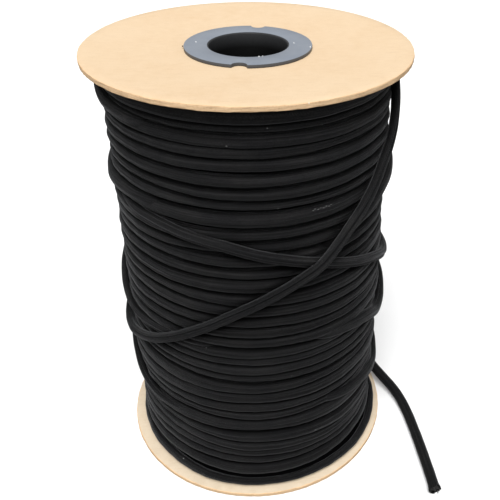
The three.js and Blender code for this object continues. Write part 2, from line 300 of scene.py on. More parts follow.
def spline(points, step):
    """Points about a step apart on the smooth curve through the given ones."""
    points = np.asarray(points, float)
    ends = np.vstack([2 * points[0] - points[1], points, 2 * points[-1] - points[-2]])
    knots = np.concatenate([[0], np.cumsum(np.linalg.norm(np.diff(ends, axis=0), axis=1) ** 0.5)])
    made = []
    for i in range(1, len(ends) - 2):
        a, b, c, d = ends[i - 1:i + 3]
        ka, kb, kc, kd = knots[i - 1:i + 3]
        from_b = ((b - a) / (kb - ka) - (c - a) / (kc - ka) + (c - b) / (kc - kb)) * (kc - kb)
        from_c = ((c - b) / (kc - kb) - (d - b) / (kd - kb) + (d - c) / (kd - kc)) * (kc - kb)
        count = max(2, math.ceil(np.linalg.norm(c - b) / step))
        t = np.linspace(0, 1, count, endpoint=False)[:, None]
        made.append(b * (2 * t ** 3 - 3 * t ** 2 + 1) + c * (3 * t ** 2 - 2 * t ** 3)
                    + from_b * (t ** 3 - 2 * t ** 2 + t) + from_c * (t ** 3 - t ** 2))
    made.append(points[-1:])
    return np.vstack(made)


def lengths_along(points):
    return np.concatenate([[0], np.cumsum(np.linalg.norm(np.diff(points, axis=0), axis=1))])


def wander(along, waves, size, random):
    """A smooth unevenness along a length, from waves of the given lengths."""
    total = np.zeros_like(along)
    for wave in waves:
        total += np.sin(2 * np.pi * (along / wave + random.random())) * size / math.sqrt(len(waves))
    return total


def unit(vectors):
    return vectors / np.linalg.norm(vectors, axis=-1, keepdims=True)


def link(name, vertices, faces):
    mesh = bpy.data.meshes.new(name)
    mesh.from_pydata(np.asarray(vertices).tolist(), [], faces)
    mesh.update()
    piece = bpy.data.objects.new(name, mesh)
    bpy.context.scene.collection.objects.link(piece)
    return piece


def add_prism(vertices, faces, lower, upper):
    """Adds a closed solid between two rings that have as many points."""
    base, sides = len(vertices), len(lower)
    vertices.extend(lower)
    vertices.extend(upper)
    for side in range(sides):
        following = (side + 1) % sides
        faces.append((base + side, base + following, base + sides + following, base + sides + side))
    faces.append(tuple(range(base + sides - 1, base - 1, -1)))
    faces.append(tuple(range(base + sides, base + 2 * sides)))


def tube(name, rings, along):
    """A closed tube through rings of points, with the length along it and the way round as its map."""
    steps, sides = rings.shape[:2]
    ring = np.arange(steps - 1)[:, None] * sides
    side = np.arange(sides)[None, :]
    following = (side + 1) % sides
    quads = np.stack([ring + side, ring + following, ring + sides + following, ring + sides + side], axis=-1)
    faces = quads.reshape(-1, 4).tolist()
    faces.append(list(range(sides - 1, -1, -1)))
    faces.append(list(range((steps - 1) * sides, steps * sides)))
    piece = link(name, rings.reshape(-1, 3), faces)
    shape = (steps - 1, sides)
    lower = np.broadcast_to(along[:-1, None], shape)
    upper = np.broadcast_to(along[1:, None], shape)
    near = np.broadcast_to(side / sides, shape)
    far = near + 1 / sides
    corners = np.stack([lower, near, lower, far, upper, far, upper, near], axis=-1).reshape(-1)
    caps = np.zeros(4 * sides)
    caps[:2 * sides:2] = along[0]
    caps[2 * sides::2] = along[-1]
    layer = piece.data.uv_layers.new(name="braid")
    layer.data.foreach_set("uv", np.concatenate([corners, caps]))
    piece.data.shade_smooth()
    piece.data.set_sharp_from_angle(angle=math.radians(60))
    return piece


def cord_rings(points, outward, across, thick, sides, squareness=2.3, fold=0.0, fold_angle=0.0):
    """Rings around a line of points. Outward is where the cord's thickness points, and each ring is as
    wide as across and as thick as thick says there. A fold is a shallow trough along the outer face."""
    forward = unit(np.gradient(points, axis=0))
    out = unit(outward - np.sum(outward * forward, axis=1, keepdims=True) * forward)
    beside = np.cross(forward, out)
    turn = np.linspace(0, 2 * np.pi, sides, endpoint=False)
    deep = np.sign(np.cos(turn)) * np.abs(np.cos(turn)) ** (2 / squareness)
    wide = np.sign(np.sin(turn)) * np.abs(np.sin(turn)) ** (2 / squareness)
    across = np.broadcast_to(across, len(points))[:, None, None] / 2
    thick = np.broadcast_to(thick, len(points))[:, None, None] / 2
    from_fold = (np.degrees(turn) - fold_angle + 180) % 360 - 180
    deep = deep - fold * np.exp(-(from_fold / FOLD_HALF_WIDTH) ** 2) / (CORD_D / 2)
    return (points[:, None] + out[:, None] * deep[None, :, None] * thick
            + beside[:, None] * wide[None, :, None] * across)


def lathe(name, sections, angles, second_rows=()):
    """A ring solid. Sections holds, for each angle, the corners (radius, height) of a closed outline. The
    strips that second_rows lists get the second material."""
    count, rows = sections.shape[:2]
    vertices = on_reel(np.asarray(angles)[:, None], sections[..., 1], sections[..., 0]).reshape(-1, 3)
    faces = []
    second = []
    for column in range(count):
        here = column * rows
        there = ((column + 1) % count) * rows
        for row in range(rows):
            above = (row + 1) % rows
            faces.append((here + row, there + row, there + above, here + above))
            second.append(1 if row in second_rows else 0)
    piece = link(name, vertices, faces)
    piece.data.polygons.foreach_set("material_index", second)
    if is_inside_out(piece.data):
        piece.data.flip_normals()
    piece.data.shade_smooth()
    piece.data.set_sharp_from_angle(angle=math.radians(40))
    return piece


def is_inside_out(mesh):
    """Whether a closed mesh is inside out, from the sign of its volume."""
    volume = 0.0
    for polygon in mesh.polygons:
        a, b, c = (mesh.vertices[i].co for i in polygon.vertices[:3])
        volume += polygon.center.dot((b - a).cross(c - b))
    return volume < 0


# Helpers for materials

class Nodes:
    """Builds one material's node tree."""

    def __init__(self, name):
        self.material = bpy.data.materials.new(name)
        self.material.use_nodes = True
        self.tree = self.material.node_tree
        self.shader = self.tree.nodes["Principled BSDF"]

    def node(self, kind, inputs=(), **settings):
        made = self.tree.nodes.new(kind)
        for key, value in settings.items():
            setattr(made, key, value)
        for key, value in dict(inputs).items():
            self.put(made.inputs[key], value)
        return made

    def put(self, socket, value):
        if isinstance(value, bpy.types.NodeSocket):
            self.tree.links.new(value, socket)
        else:
            socket.default_value = value

    def sums(self, operation, *values):
        made = self.node("ShaderNodeMath", operation=operation)
        for socket, value in zip(made.inputs, values):
            self.put(socket, value)
        return made.outputs[0]

    def spread(self, value, low, high, to_low, to_high):
        inputs = {"Value": value, "From Min": low, "From Max": high, "To Min": to_low, "To Max": to_high}
        return self.node("ShaderNodeMapRange", inputs).outputs[0]

    def noise(self, vector, scale, detail=2.0, roughness=0.5):
        inputs = {"Vector": vector, "Scale": scale, "Detail": detail, "Roughness": roughness}
        return self.node("ShaderNodeTexNoise", inputs).outputs["Fac"]

    def stretched(self, vector, scale, detail, roughness=0.5, rotation=(0, 0, 0)):
        """Noise that is finer one way than another."""
        inputs = {"Vector": vector, "Rotation": rotation, "Scale": scale}
        return self.noise(self.node("ShaderNodeMapping", inputs).outputs[0], 1.0, detail, roughness)

    def split(self, vector):
        return self.node("ShaderNodeSeparateXYZ", {"Vector": vector}).outputs

    def shade(self, reach, low, high, to_low, to_high):
        """Painted shade: less where other faces are near."""
        near = self.node("ShaderNodeAmbientOcclusion", {"Distance": reach}, samples=8)
        return self.spread(near.outputs["AO"], low, high, to_low, to_high)

    def blend(self, share, first, second):
        made = self.node("ShaderNodeMix", data_type="RGBA")
        self.put(made.inputs[0], share)
        self.put(made.inputs[6], first)
        self.put(made.inputs[7], second)
        return made.outputs[2]

    def place(self):
        return self.node("ShaderNodeTexCoord").outputs["Object"]

    def finish(self, colour, height, distance, **sockets):
        bump = self.node("ShaderNodeBump", {"Height": height, "Distance": distance, "Strength": 1.0})
        self.put(self.shader.inputs["Base Color"], colour)
        self.put(self.shader.inputs["Normal"], bump.outputs[0])
        for key, value in sockets.items():
            self.put(self.shader.inputs[key.replace("_", " ")], value)
        return self.material


def braid_material():
    """Fine black braid: strands that cross over and under each other two at a time, faint wrinkles along the
    cord, dusty patches, painted light that makes it a little paler towards the top, and painted shade that
    makes it black deep in the grooves."""
    n = Nodes("black_braid")
    braid_map = n.split(n.node("ShaderNodeUVMap", uv_map="braid").outputs[0])
    along = n.sums("DIVIDE", braid_map["X"], BRAID_LENGTH)
    around = n.sums("MULTIPLY", braid_map["Y"], CARRIERS)
    right = n.sums("ADD", around, along)
    left = n.sums("SUBTRACT", around, along)
    lanes = n.sums("ADD", n.sums("FLOOR", right), n.sums("FLOOR", left))
    over = n.sums("LESS_THAN", n.sums("FLOORED_MODULO", lanes, 4.0), 2.0)

    def strand(lane):
        offset = n.sums("SUBTRACT", n.sums("FRACT", lane), 0.5)
        return n.sums("SUBTRACT", 1.0, n.sums("MULTIPLY", n.sums("MULTIPLY", offset, offset), 3.6))

    weave = n.sums("ADD", n.sums("MULTIPLY", over, strand(right)),
                   n.sums("MULTIPLY", n.sums("SUBTRACT", 1.0, over), strand(left)))
    lengthwise = n.node("ShaderNodeCombineXYZ", {"X": n.sums("MULTIPLY", braid_map["X"], WRINKLES_ALONG),
                                                 "Y": n.sums("MULTIPLY", braid_map["Y"], WRINKLES_AROUND)})
    wrinkles = n.noise(lengthwise.outputs[0], 1.0, 3.0, 0.6)
    place = n.place()
    patches = n.noise(place, 45.0, 3.0)
    fuzz = n.noise(place, 2600.0, 3.0, 0.7)
    # Painted shade: darker where other faces are near, so black deep in the grooves and beside the crossing
    # strands.
    shade = n.shade(GROOVE_SHADE_REACH, 0.48, 0.93, 0.03, 1.0)
    dust = n.spread(patches, 0.35, 0.7, 0.0, 1.0)
    light = n.sums("MULTIPLY", n.spread(weave, 0.1, 1.0, 0.6, 1.1), n.spread(fuzz, 0.3, 0.7, 0.75, 1.25))
    light = n.sums("MULTIPLY", light, n.spread(wrinkles, 0.38, 0.62, 0.56, 1.30))
    light = n.sums("MULTIPLY", light, n.spread(n.noise(place, 950.0, 2.0), 0.3, 0.7, 0.72, 1.28))
    # Painted light: the braid grows paler towards the top of the winding, as if lit more from above.
    rise = n.split(place)["Z"]
    painted_top_light = n.sums("ADD", n.spread(rise, 0.02, 0.25, 0.68, 0.92), n.spread(rise, 0.25, 0.285, 0.0, 0.32))
    light = n.sums("MULTIPLY", light, painted_top_light)
    light = n.sums("MULTIPLY", light, shade)
    tone = n.blend(dust, (0.0128, 0.0129, 0.0137, 1), (0.0184, 0.0182, 0.0184, 1))
    shaded = n.node("ShaderNodeVectorMath", {0: tone}, operation="SCALE")
    n.put(shaded.inputs["Scale"], light)
    height = n.sums("ADD", weave, n.sums("MULTIPLY", fuzz, 0.35))
    height = n.sums("ADD", height, n.sums("MULTIPLY", wrinkles, WRINKLE_HEIGHT))
    return n.finish(shaded.outputs[0], height, 0.00016, Roughness=0.85, Specular_IOR_Level=0.05,
                    Sheen_Weight=SHEEN, Sheen_Roughness=0.32, Sheen_Tint=(0.96, 0.97, 1.0, 1))


def grained_material(name, scale, detail, first, second, distance, **sockets):
    """Two close tones in a fine grain."""
    n = Nodes(name)
    grain = n.noise(n.place(), scale, detail)
    return n.finish(n.blend(grain, (*first, 1), (*second, 1)), grain, distance, **sockets)


def pressboard_material(name, light, dark, worn):
    """Pale pressed board: soft mottling, fine fibres, faint parallel lines and small dark specks."""
    n = Nodes(name)
    place = n.place()
    mottling = n.noise(place, 170.0, 4.0, 0.6)
    cloud = n.noise(place, 22.0, 2.0)
    lines = n.stretched(place, (90.0, 1100.0, 90.0), 2.0, rotation=(0, 0, math.radians(38)))
    fibre = n.noise(place, 1500.0, 3.0, 0.65)
    tone = n.blend(n.spread(mottling, 0.35, 0.68, 0.0, 1.0), light, dark)
    clouded = n.blend(n.spread(cloud, 0.35, 0.7, 0.0, 0.6), tone, worn)
    streaked = n.blend(n.spread(lines, 0.55, 0.78, 0.0, 0.36), clouded, (0.54, 0.385, 0.240, 1))
    specks = n.blend(n.spread(fibre, 0.59, 0.72, 0.0, 0.48), streaked, (0.44, 0.32, 0.20, 1))
    height = n.sums("ADD", fibre, n.sums("MULTIPLY", mottling, 1.5))
    return n.finish(specks, height, 0.00007, Roughness=0.82, Specular_IOR_Level=0.25)


def cut_edge_material():
    """The darker cut rim of the board, in thin layers."""
    n = Nodes("pressboard_cut_edge")
    place = n.place()
    layers = n.stretched(place, (160.0, 160.0, 2600.0), 3.0, 0.6)
    crumbs = n.noise(place, 900.0, 4.0, 0.7)
    tone = n.blend(n.spread(layers, 0.35, 0.65, 0.0, 1.0), (0.70, 0.47, 0.270, 1), (0.80, 0.57, 0.350, 1))
    colour = n.blend(n.spread(crumbs, 0.52, 0.72, 0.0, 0.5), tone, (0.46, 0.28, 0.14, 1))
    return n.finish(colour, n.sums("ADD", layers, crumbs), 0.00018, Roughness=0.9, Specular_IOR_Level=0.2)


def ring_material():
    """Satin grey moulded plastic with fine scuffs, with painted shade that darkens its upright sides and its
    corners.
    """
    n = Nodes("hub_ring")
    place = n.place()
    cloud = n.noise(place, 60.0, 3.0)
    scuffs = n.stretched(place, (260.0, 1700.0, 260.0), 3.0, rotation=(0, 0, 0.7))
    tone = n.blend(n.spread(cloud, 0.3, 0.7, 0.0, 1.0), (0.195, 0.220, 0.262, 1), (0.228, 0.252, 0.290, 1))
    scuffed = n.blend(n.spread(scuffs, 0.58, 0.75, 0.0, 0.4), tone, (0.30, 0.32, 0.36, 1))
    # Painted shade: the ring's upright faces are darker than its top, as they catch less light.
    level = n.sums("ABSOLUTE", n.split(n.node("ShaderNodeNewGeometry").outputs["Normal"])["Z"])
    painted_side_shade = n.blend(n.spread(level, 0.2, 0.8, 0.0, 1.0), (0.060, 0.064, 0.072, 1), scuffed)
    # Painted shade: near black in the corners, where other faces are near.
    colour = n.blend(n.shade(0.0025, 0.45, 0.85, 0.0, 1.0), (0.035, 0.035, 0.038, 1), painted_side_shade)
    return n.finish(colour, n.sums("ADD", n.noise(place, 900.0, 2.0), scuffs), 0.00002,
                    Roughness=0.42, Specular_IOR_Level=0.5)


def sleeve_material():
    """The black sleeve inside the ring, with painted shade that darkens it further down."""
    n = Nodes("hub_sleeve")
    place = n.place()
    grain = n.noise(place, 500.0, 3.0)
    lit = n.spread(n.split(place)["Z"], REEL_TOP - SLEEVE_SHADE, REEL_TOP, 0.0, 1.0)
    worn = n.blend(grain, (0.026, 0.027, 0.029, 1), (0.040, 0.041, 0.043, 1))
    colour = n.blend(lit, (0.003, 0.003, 0.003, 1), worn)
    return n.finish(colour, grain, 0.00003, Roughness=0.45, Specular_IOR_Level=0.25)


def kraft_material():
    """Wound paperboard, with the edges of its strips, in tones darkened to near black as painted shade deep
    in the bore.
    """
    n = Nodes("kraft_board")
    place = n.place()
    strips = n.stretched(place, (30.0, 30.0, 260.0), 2.0, rotation=(0.5, 0, 0))
    colour = n.blend(strips, (0.0030, 0.0024, 0.0020, 1), (0.0065, 0.0050, 0.0040, 1))
    return n.finish(colour, n.sums("ADD", strips, n.noise(place, 900.0, 3.0)), 0.0001, Roughness=0.9)


def dress(piece, slot, *materials):
    """Gives a piece its materials and makes it ride on the reel. The slot is not used."""
    for material in materials:
        piece.data.materials.append(material)
    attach(piece, "root")
    return piece


# Camera

def place_camera():
    """The camera, turned by its yaw, pitch and roll, with a small shift sideways."""
    forward = np.array([math.sin(CAMERA_YAW) * math.cos(CAMERA_PITCH),
                        math.cos(CAMERA_YAW) * math.cos(CAMERA_PITCH), -math.sin(CAMERA_PITCH)])
    level = np.array([math.cos(CAMERA_YAW), -math.sin(CAMERA_YAW), 0.0])
    upright = np.cross(level, forward)
    right = math.cos(CAMERA_ROLL) * level + math.sin(CAMERA_ROLL) * upright
    up = math.cos(CAMERA_ROLL) * upright - math.sin(CAMERA_ROLL) * level
    data = bpy.data.cameras.new("camera")
    data.sensor_width = SENSOR * 1000
    data.lens = FOCAL_PIXELS / PICTURE * SENSOR * 1000
    data.shift_x = (PICTURE / 2 - CENTRE_PIXEL_X) / PICTURE
    data.clip_start = 0.01
    data.clip_end = 50
    camera = bpy.data.objects.new("camera", data)
    bpy.context.scene.collection.objects.link(camera)
    turned = Matrix(np.stack([right, up, -forward], axis=1).tolist()).to_4x4()
    camera.matrix_world = Matrix.Translation(CAMERA_PLACE) @ turned
    bpy.context.scene.camera = camera


place_camera()

BRAID = braid_material()
# The cut strands of the cord's elastic core
RUBBER = grained_material("cut_rubber", 1800.0, 3.0, (0.006, 0.006, 0.006), (0.018, 0.017, 0.017), 0.0001,
                          Roughness=0.6)
# The layer under the outer turns, in tones far darker than the braid's: painted shade, black in their shade
DEEP_BRAID = grained_material("deep_braid", 1400.0, 3.0, (0.0008, 0.0008, 0.0009), (0.0024, 0.0024, 0.0026),
                              0.0001, Roughness=0.95, Specular_IOR_Level=0.02)
# Pale grey fluff and dust
FLUFF = grained_material("lint", 2500.0, 2.0, (0.16, 0.16, 0.16), (0.42, 0.42, 0.42), 0.00005, Roughness=0.95)

# The loose end

LOOSE_SIDES = 28
LOOSE_STEP = 0.0009
MOUTH_RUN = 0.0050
MOUTH_FLARE = 0.0007
SHEATH_T = 0.0009
CORE_DEPTH = 0.0016
MOUTH_RAGGED = 0.0007
CORE_STRANDS = 19
CORE_STRAND_R = 0.00072
CORE_SPACING = 0.00072
CORE_TURN = 2.39996
FRAYS = 46
FRAY_WIDTHS = (0.00042, 0.00016)


def make_loose_end():
    """The sheathed cord, with a slightly flared and ragged mouth. Also gives its middle line."""
    points = spline(LOOSE_ROUTE, LOOSE_STEP)
    along = lengths_along(points)
    up = np.tile([0.0, 0.0, 1.0], (len(points), 1))
    to_mouth = smooth((along - along[-1] + MOUTH_RUN) / MOUTH_RUN)
    width = CORD_D + wander(along, (0.017, 0.041, 0.009), 0.00008, rng) + 2 * MOUTH_FLARE * to_mouth
    thick = np.minimum(width, CORD_D + 0.0001)
    rings = cord_rings(points, up, width, thick, LOOSE_SIDES, ROUND)
    forward = unit(points[-1] - points[-3])
    turn = np.linspace(0, 2 * np.pi, LOOSE_SIDES, endpoint=False)
    ragged = MOUTH_RAGGED * (np.cos(turn - 1.9) + 0.5 * np.sin(3 * turn) + 0.5 * rng.normal(size=LOOSE_SIDES))
    rings = rings + to_mouth[:, None, None] * ragged[None, :, None] * forward
    inner = points[-1] + (rings[-1] - points[-1]) * (1 - SHEATH_T / (CORD_D / 2))
    floor_ring = inner - forward * CORE_DEPTH * 1.5
    rings = np.concatenate([rings, inner[None], floor_ring[None]])
    map_along = np.concatenate([along, along[-1:] + SHEATH_T, along[-1:] + SHEATH_T + CORE_DEPTH])
    piece = dress(tube("loose_end_cord", rings, map_along), "black_braid", BRAID)
    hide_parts("loose_end")
    return piece, points, along


def rods(name, starts, ends, widths, sides=5):
    """Small rods or spikes as one mesh, each from a start to an end, with its width at both."""
    vertices, faces = [], []
    turn = np.linspace(0, 2 * np.pi, sides, endpoint=False)
    for start, end, (wide, narrow) in zip(starts, ends, widths):
        forward = unit(end - start)
        aside = unit(np.cross(forward, [0.31, 0.17, 0.93]))
        beside = np.cross(forward, aside)
        circle = np.cos(turn)[:, None] * aside + np.sin(turn)[:, None] * beside
        add_prism(vertices, faces, start + circle * wide / 2, end + circle * narrow / 2)
    piece = link(name, vertices, faces)
    piece.data.shade_smooth()
    piece.data.set_sharp_from_angle(angle=math.radians(50))
    return piece


def make_cut_end(points):
    """The cut tips of the core's strands and the frayed yarns around the mouth."""
    tip = points[-1]
    forward = unit(points[-1] - points[-3])
    aside = unit(np.cross(forward, [0.0, 0.0, 1.0]))
    upright = np.cross(aside, forward)
    starts, ends, widths = [], [], []
    for strand in range(CORE_STRANDS):
        radius = CORE_SPACING * math.sqrt(strand)
        turn = strand * CORE_TURN
        middle = tip + (aside * math.cos(turn) + upright * math.sin(turn)) * radius
        out = CORE_DEPTH * (0.1 + 0.8 * rng.random())
        starts.append(middle - forward * CORE_DEPTH * 1.6)
        ends.append(middle - forward * (CORE_DEPTH - out))
        widths.append((2 * CORE_STRAND_R, 1.6 * CORE_STRAND_R))
    core = dress(rods("loose_end_core", starts, ends, widths, 7), "black_braid", RUBBER)
    starts, ends, widths = [], [], []
    for _ in range(FRAYS):
        turn = rng.random() * 2 * np.pi
        around = aside * math.cos(turn) + upright * math.sin(turn)
        root = tip + around * (CORD_D / 2 - SHEATH_T * 0.5) - forward * 0.0006
        reach = forward * (0.0009 + 0.0014 * rng.random()) + around * 0.0007 * (rng.random() - 0.45)
        end = root + reach + aside * 0.0006 * (rng.random() - 0.5)
        end[2] = max(end[2], 0.0002)
        starts.append(root)
        ends.append(end)
        widths.append(FRAY_WIDTHS)
    frays = dress(rods("loose_end_frays", starts, ends, widths, 4), "black_braid", RUBBER)
    return core, frays


loose_end, loose_points, loose_along = make_loose_end()
loose_core, loose_frays = make_cut_end(loose_points)


# Lint and crumbs

# Lint on the winding: an angle and a height, then its length and width
LINT = (
    (-8.3, 0.2758, 0.0012, 0.0006), (5.6, 0.2852, 0.0011, 0.0005), (26.1, 0.2813, 0.0010, 0.0006),
    (9.1, 0.2361, 0.0014, 0.0006), (22.4, 0.2316, 0.0010, 0.0006), (23.3, 0.2321, 0.0013, 0.0005),
    (24.5, 0.2316, 0.0012, 0.0006), (25.7, 0.2320, 0.0010, 0.0005), (26.8, 0.2316, 0.0014, 0.0006),
    (28.1, 0.2321, 0.0011, 0.0005), (29.2, 0.2317, 0.0009, 0.0006), (30.2, 0.2321, 0.0010, 0.0005),
    (25.8, 0.0486, 0.0013, 0.0008), (-37.9, 0.0140, 0.0014, 0.0008), (-21.0, 0.1320, 0.0008, 0.0004),
    (14.0, 0.1080, 0.0008, 0.0004), (120.0, 0.1900, 0.0011, 0.0005), (-150.0, 0.2400, 0.0012, 0.0005),
    (170.0, 0.0800, 0.0010, 0.0006), (-100.0, 0.1700, 0.0009, 0.0005),
)
# Pale crumbs on the top ring: their x and y, then their length and width
RING_CRUMBS = (
    (0.0061, -0.0247, 0.0016, 0.0009), (0.0082, -0.0240, 0.0012, 0.0007), (-0.0321, 0.0044, 0.0018, 0.0011),
    (0.0282, 0.0006, 0.0017, 0.0009), (0.0377, -0.0076, 0.0020, 0.0010),
)
RIM_CRUMB_ANGLE = 16.9
BURR_ANGLE = 272
FLAKE_SIDES = 7
FLAKE_SUNK = 0.0001
GROOVE_SHIFTS = (0.0, 0.001, -0.001, 0.002, -0.002, 0.003, -0.003, 0.004)
RAY_FROM_R = 0.130
RAY_LENGTH = 0.045


def flakes(name, places):
    """Thin ragged flakes as one mesh. Each place is a point, the way out of the surface, the flake's
    long direction, its length and its width."""
    vertices, faces = [], []
    turn = np.linspace(0, 2 * np.pi, FLAKE_SIDES, endpoint=False)
    for point, out, lengthwise, length, width in places:
        out = unit(np.asarray(out, float))
        lengthwise = unit(lengthwise - out * np.dot(lengthwise, out))
        beside = np.cross(out, lengthwise)
        reach = 0.5 * (0.55 + 0.45 * rng.random(FLAKE_SIDES))[:, None]
        edge = reach * (np.cos(turn)[:, None] * lengthwise * length + np.sin(turn)[:, None] * beside * width)
        add_prism(vertices, faces, point + edge - out * FLAKE_SUNK, point + edge * 0.7 + out * width * 0.3)
    return link(name, vertices, faces)


def face_of(trees, angle, height):
    """The nearest point of the turns' faces and the way out of it. In a groove, the face just above or
    below it is taken."""
    for shift in GROOVE_SHIFTS:
        start = Vector(on_reel(angle, height + shift, RAY_FROM_R).tolist())
        inward = Vector((-start.x, -start.y, 0)).normalized()
        hits = [tree.ray_cast(start, inward, RAY_LENGTH) for tree in trees]
        found = [hit for hit in hits if hit[0] is not None]
        if found:
            break
    point, out, _, _ = min(found, key=lambda hit: hit[3])
    return np.array(point), np.array(out if out.dot(inward) < 0 else -out)


def make_lint(turns):
    """Fluff that lies on the turns' faces."""
    places = []
    trees = [BVHTree.FromPolygons([v.co for v in piece.data.vertices],
                                  [tuple(p.vertices) for p in piece.data.polygons]) for piece in turns]
    for angle, height, length, width in LINT:
        point, out = face_of(trees, angle, height)
        level = on_reel(angle + 90, 0.25 * (rng.random() - 0.5), 1.0)
        places.append((point, out, level, length, width))
    dress(flakes("lint_on_winding", places), "black_braid", FLUFF)


def make_crumbs():
    """Crumbs on the top ring, one on the flange's rim, and a burr on the ring's edge."""
    up = np.array([0.0, 0.0, 1.0])
    places = [(np.array([x, y, REEL_TOP]), up, unit(rng.normal(size=3)), length, width)
              for x, y, length, width in RING_CRUMBS]
    dress(flakes("crumbs_on_ring", places), "hub_plastic", CHIPS)
    out = on_reel(RIM_CRUMB_ANGLE, 0.0, 1.0)
    rim_place = on_reel(RIM_CRUMB_ANGLE, REEL_TOP - 0.0004, FLANGE_R - 0.0002)
    dress(flakes("crumb_on_rim", [(rim_place, unit(out + up), up, 0.0013, 0.0008)]), "pressboard", CHIPS)
    side = on_reel(BURR_ANGLE, 0.0, 1.0)
    burr_place = on_reel(BURR_ANGLE, REEL_TOP - 0.0008, HUB_R + 0.0003)
    dress(flakes("burr_on_ring", [(burr_place, side, up, 0.0013, 0.0020)]), "hub_plastic", HUB_SLEEVE)


# The winding

def top_flange_face(radius):
    """The height of the top flange's underside at a distance from the axis."""
    share = np.clip((RIM_INNER_R - radius) / (RIM_INNER_R - SEAT_R), 0, 1)
    return REEL_TOP - FLANGE_T - DISH * share


def form_radius(angle, height):
    """How far the winding's crests stand from the axis."""
    heights = np.array([row[0] for row in FORM])
    radii = np.array([between(FORM_STOPS, (back, left, front, right, back), angle)
                      for _, left, front, right, back in FORM])
    low = np.clip(np.searchsorted(heights, height, side="right") - 1, 0, len(heights) - 2)
    share = (height - heights[low]) / (heights[low + 1] - heights[low])
    column = np.arange(len(angle))
    return radii[low, column] * (1 - share) + radii[low + 1, column] * share


def groove_lines(angle):
    """Heights and openness of the winding's top edge, its grooves and its bottom edge at each angle."""
    top = top_flange_face(form_radius(angle, np.full(len(angle), REEL_TOP)) - GROOVE_RADIUS_DROP) - GAP
    bottom = REEL_TOP - top
    heights, openness = [top], [np.ones(len(angle))]
    for row, (left, front, right, *open_there) in enumerate(GROOVES):
        back = top + (bottom - top) * (row + 1) / (len(GROOVES) + 1)
        here = between(GROOVE_STOPS, (0, left, front, right, 0), angle)
        behind = between(GROOVE_STOPS, (1, 0, 0, 0, 1), angle)
        heights.append(here + back * behind - GROOVE_SINK)
        openness.append(between(GROOVE_STOPS, (OPEN_BEHIND, *open_there, OPEN_BEHIND), angle))
    return np.array(heights + [bottom]), np.array(openness + [np.ones(len(angle))])


def face_angles():
    """The ways round a turn's section: close together on its outer face, sparse where it is hidden."""
    outer = np.linspace(-105, 105, 22)
    inner = np.linspace(105, 255, 6)[1:-1]
    return np.radians(np.concatenate([outer, inner]))


def make_waves(waves, size):
    """Lengths, starts and sizes of the waves of one unevenness that runs on from turn to turn."""
    return [(wave, rng.random(), size / math.sqrt(len(waves))) for wave in waves]


def wander_at(along, waves):
    return sum(size * np.sin(2 * np.pi * (along / wave + start)) for wave, start, size in waves)


def turn_rings():
    """The rings of all the turns as one cord, from the top down, level at the front and stepping over to
    the next turn at the back."""
    angle = np.linspace(-180, 180, TURN_STEPS, endpoint=False)
    edges, openness = groove_lines(angle)
    turns = len(edges) - 1
    phi = face_angles()
    rings, lines = [], []
    step_over = smooth((np.abs(angle) - STEP_OVER_FROM) / (STEP_OVER_TO - STEP_OVER_FROM))
    for turn in range(turns):
        high, low = edges[turn], edges[turn + 1]
        middle = (high + low) / 2
        width = high - low
        half = np.maximum(width / 2, BURIED_HALF)
        goal = np.where(angle < 0, high, low)
        share = step_over.copy()
        sink = np.zeros(len(angle))
        if turn == 0:
            sink = np.where(angle < 0, share, 0)
            share = np.where(angle < 0, 0, share)
        if turn == turns - 1:
            sink = np.where(angle < 0, 0, share)
            share = np.where(angle < 0, share, 0)
        along = (turn + angle / 360 + 0.5) * 2 * np.pi * MEAN_R
        centre = middle + (goal - middle) * share
        centre = centre + wander_at(along, HEIGHT_WAVES)
        proud = np.clip((width - CORD_D) * RISE_BY_WIDTH, RISE_LEAST, RISE_MOST)
        crest = form_radius(angle, centre) + proud + wander_at(along, RADIUS_WAVES) - 2 * CORD_DEPTH * sink
        depth = np.full(len(angle), CORD_DEPTH)
        if turn == turns - 1:
            depth = between((-180, -60, 180), (CORD_DEPTH, LAST_TURN_DEPTH, LAST_TURN_DEPTH), angle)
        rings.append(turn_section(angle, centre, crest, depth, half, openness[turn], openness[turn + 1], phi))
        lines.append(along)
    return np.concatenate(rings), np.concatenate(lines)


def turn_section(angle, centre, crest, depth, half, open_above, open_below, phi):
    """Rings of a squeezed round section. The side towards a closed groove is squarer, and the side
    towards an open one is drawn in a little."""
    cosine, sine = np.cos(phi), np.sin(phi)
    openness = np.where(sine[None, :] > 0, open_below[:, None], open_above[:, None])
    squareness = ROUND + PRESSED_SQUARER * np.clip(1 - openness, 0, 1)
    drawn_in = GROOVE_GAP * np.clip(openness - CLOSED_UP_TO, 0, 3)
    deep = np.sign(cosine) * np.abs(cosine)[None, :] ** (2 / squareness)
    wide = np.sign(sine) * np.abs(sine)[None, :] ** (2 / squareness)
    radius = (crest - depth)[:, None] + depth[:, None] * deep
    height = centre[:, None] - (half[:, None] - drawn_in) * wide
    for left, front, right in CREASES:
        line = between(GROOVE_STOPS, (left, left, front, right, right), angle)[:, None]
        near = np.exp(-(((height - line) / CREASE_HALF_WIDTH) ** 2)) * (cosine[None, :] > 0.2)
        fade = smooth((110 - np.abs(angle)) / 40)[:, None]
        radius = radius - CREASE_DEPTH * near * fade
    return on_reel(angle[:, None], height, radius)


def make_turns():
    """The outermost turns, in two pieces that meet halfway up."""
    rings, along = turn_rings()
    half = (len(rings) // (2 * TURN_STEPS)) * TURN_STEPS
    rings = rings[:, ::-1]
    upper = dress(tube("turns_upper", rings[:half + 1], along[:half + 1]), "black_braid", BRAID)
    lower = dress(tube("turns_lower", rings[half:], along[half:]), "black_braid", BRAID)
    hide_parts("winding")
    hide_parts("winding")
    return upper, lower


